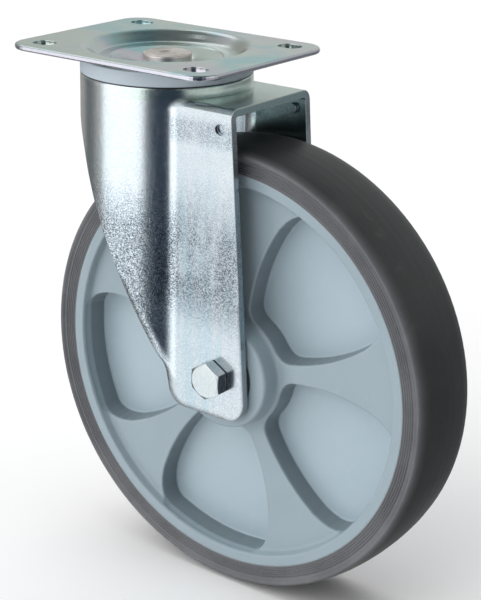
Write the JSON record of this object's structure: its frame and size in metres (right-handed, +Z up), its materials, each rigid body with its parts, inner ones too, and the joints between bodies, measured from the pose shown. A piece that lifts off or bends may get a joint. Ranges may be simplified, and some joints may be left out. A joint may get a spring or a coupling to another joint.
{
  "type": "swivel castor wheel",
  "caption": "Swivel castor: drilled top plate, ball-bearing swivel head, pressed steel fork and a large rubber-tyred plastic wheel on a bolted axle.",
  "frame": {"origin": "centre of the top plate's upper mounting face, on the swivel axis", "axes": "+Z up out of the mounting face, +Y along the wheel axle away from the bolt head, +X the way the wheel trails at rest"},
  "size_m": [0.255, 0.109, 0.292],
  "materials": {
    "zinc_plate": "zinc plated and passivated, satin with a faint blue-green cast",
    "zinc_fork": "zinc plated and passivated, fine grain, semi-gloss",
    "zinc_fastener": "zinc plated, bright",
    "bare_steel": "bare formed steel, slightly rough",
    "race_steel": "ground",
    "ball_steel": "polished",
    "cage_brass": "satin",
    "seal_plastic": "satin grey-blue",
    "seal_rubber": "matt black",
    "core_plastic": "moulded polypropylene, satin grey-blue",
    "tyre_rubber": "satin dark grey-brown rubber"
  },
  "bodies": {
    "plate": {"top_plate": "zinc_plate", "king_pin": "bare_steel", "upper_race": "race_steel", "lower_race": "race_steel"},
    "fork": {"fork": "zinc_fork", "dust_seal": "seal_plastic", "axle_bolt": "zinc_fastener", "axle_washer": "zinc_fastener", "axle_nut": "zinc_fastener", "axle_tube": "race_steel", "near_spacer": "race_steel", "far_spacer": "race_steel", "near_bearing_inner_ring": "race_steel", "far_bearing_inner_ring": "race_steel"},
    "upper_ball_row": {"upper_balls": "ball_steel"},
    "lower_ball_row": {"lower_balls": "ball_steel"},
    "wheel": {"wheel_core": "core_plastic", "tyre": "tyre_rubber", "near_bearing_outer_ring": "race_steel", "near_bearing_seals": "seal_rubber", "far_bearing_outer_ring": "race_steel", "far_bearing_seals": "seal_rubber"},
    "near_ball_set": {"near_bearing_balls": "ball_steel", "near_bearing_cage": "cage_brass"},
    "far_ball_set": {"far_bearing_balls": "ball_steel", "far_bearing_cage": "cage_brass"}
  },
  "joints": [
    {"name": "fork_swivel", "type": "hinge", "parent": "plate", "child": "fork", "pos_m": [0, 0, -0.012], "axis": [0, 0, 1], "continuous": true},
    {"name": "wheel_spin", "type": "hinge", "parent": "fork", "child": "wheel", "pos_m": [0.061, 0, -0.167], "axis": [0, 1, 0], "continuous": true},
    {"name": "upper_row_roll", "type": "hinge", "parent": "plate", "child": "upper_ball_row", "pos_m": [0, 0, -0.0094], "axis": [0, 0, 1], "continuous": true},
    {"name": "lower_row_roll", "type": "hinge", "parent": "plate", "child": "lower_ball_row", "pos_m": [0, 0, -0.0186], "axis": [0, 0, 1], "continuous": true},
    {"name": "near_cage_spin", "type": "hinge", "parent": "fork", "child": "near_ball_set", "pos_m": [0.061, -0.02, -0.167], "axis": [0, 1, 0], "continuous": true},
    {"name": "far_cage_spin", "type": "hinge", "parent": "fork", "child": "far_ball_set", "pos_m": [0.061, 0.02, -0.167], "axis": [0, 1, 0], "continuous": true}
  ],
  "couplings": [
    {"joint": "upper_row_roll", "follows": "fork_swivel", "ratio": 0.5},
    {"joint": "lower_row_roll", "follows": "fork_swivel", "ratio": 0.5},
    {"joint": "near_cage_spin", "follows": "wheel_spin", "ratio": 0.6185},
    {"joint": "far_cage_spin", "follows": "wheel_spin", "ratio": 0.6185}
  ]
}
